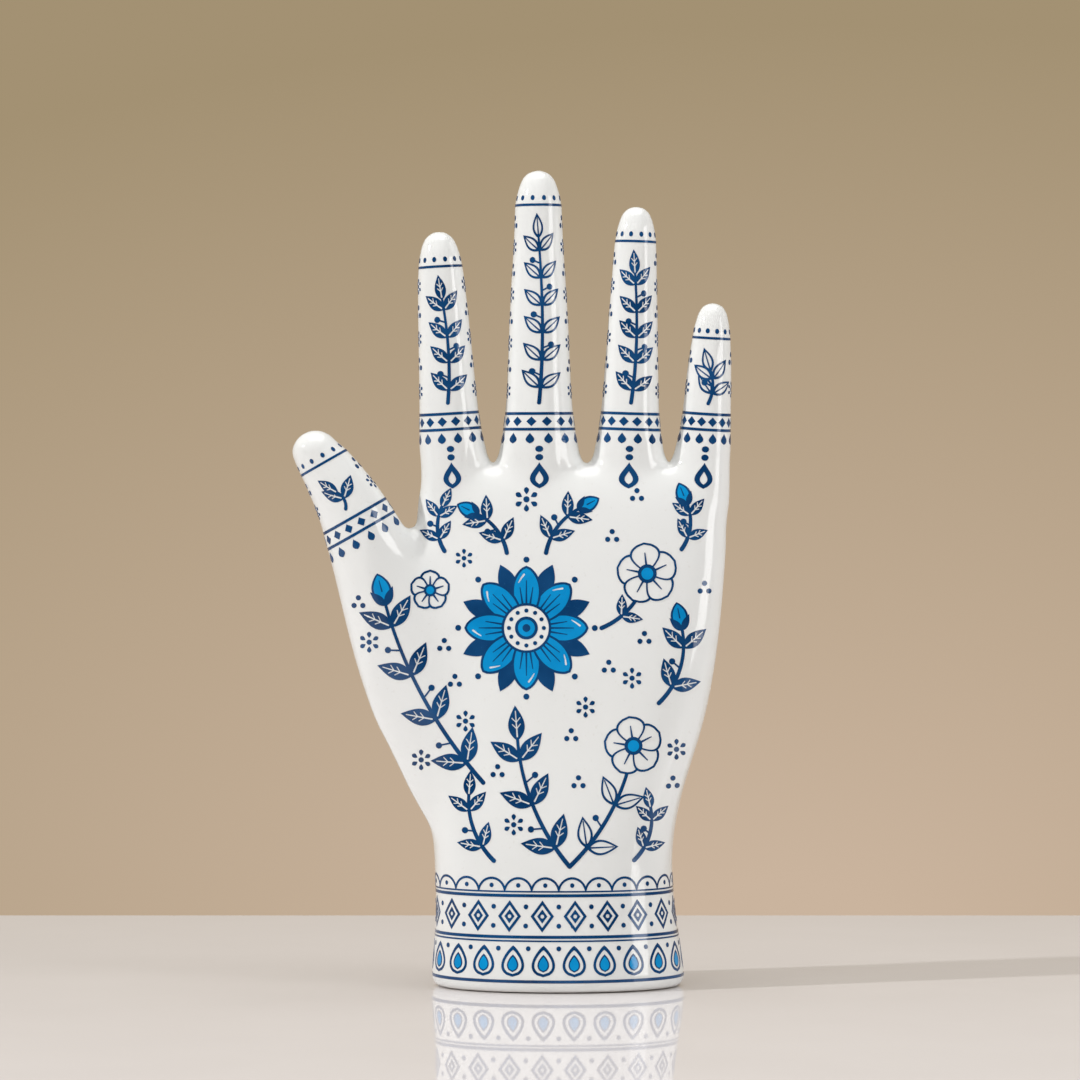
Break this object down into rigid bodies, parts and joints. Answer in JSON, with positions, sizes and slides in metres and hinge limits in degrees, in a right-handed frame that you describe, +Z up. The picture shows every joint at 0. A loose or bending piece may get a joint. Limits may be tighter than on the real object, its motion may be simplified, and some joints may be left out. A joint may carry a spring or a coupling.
{
  "type": "ceramic hand sculpture",
  "caption": "Upright open porcelain hand on an oval foot, with blue floral transfers over a glossy white glaze; a free-standing ornament or ring holder.",
  "frame": {"origin": "middle of the pad's underside, on the surface that the hand stands on", "axes": "+Z up towards the fingertips; the palm faces -Y and the thumb is on the -X side"},
  "size_m": [0.1242, 0.0494, 0.23],
  "materials": {
    "porcelain": "glossy clear glaze over white porcelain",
    "navy_transfer": "glossy fired navy transfer",
    "cerulean_transfer": "glossy fired cerulean transfer",
    "pad_foam": "matt closed-cell foam"
  },
  "bodies": {
    "root": {"hand_casting": "porcelain", "base_pad": "pad_foam", "palm_vine_print": "navy_transfer", "wrist_lappet_print": "navy_transfer", "wrist_lozenge_print": "navy_transfer", "thumb_print": "navy_transfer", "index_finger_print": "navy_transfer", "middle_finger_print": "navy_transfer", "ring_finger_print": "navy_transfer", "little_finger_print": "navy_transfer", "back_print": "navy_transfer", "palm_blossom_print": "cerulean_transfer"}
  },
  "joints": []
}
